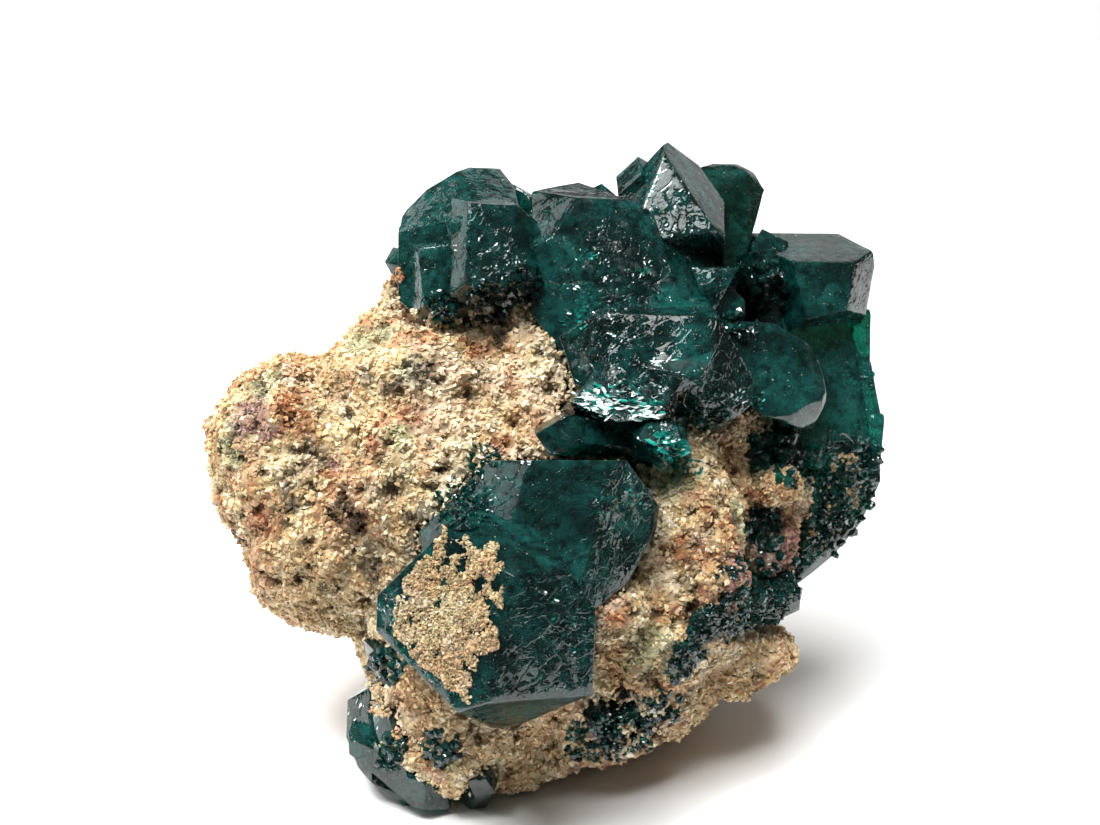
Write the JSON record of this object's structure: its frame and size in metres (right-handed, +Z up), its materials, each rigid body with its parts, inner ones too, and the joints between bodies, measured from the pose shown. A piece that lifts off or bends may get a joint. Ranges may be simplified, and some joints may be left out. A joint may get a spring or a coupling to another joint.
{
  "type": "dioptase mineral specimen",
  "caption": "Irregular lump of sandy carbonate rock carrying dark green, see-through six-sided dioptase crystals.",
  "frame": {"origin": "on the surface that the specimen rests on, under the middle of its bounding box", "axes": "+Z up as the specimen stands, +X to the right of its display side, and the display side faces -Y"},
  "size_m": [0.0434, 0.0356, 0.0372],
  "materials": {
    "dioptase": "glassy, see-through where thin, some faces frosted",
    "rock": "granular, sandy"
  },
  "bodies": {
    "root": {"rock_matrix": "rock", "crystals_crown": "dioptase", "crystals_front_pair": "dioptase", "crystals_lower_left": "dioptase", "crystals_right_band": "dioptase", "crystals_bottom_druse": "dioptase", "crystals_back": "dioptase", "crystal_foot": "dioptase", "crystal_under_lobe": "dioptase"}
  },
  "joints": []
}
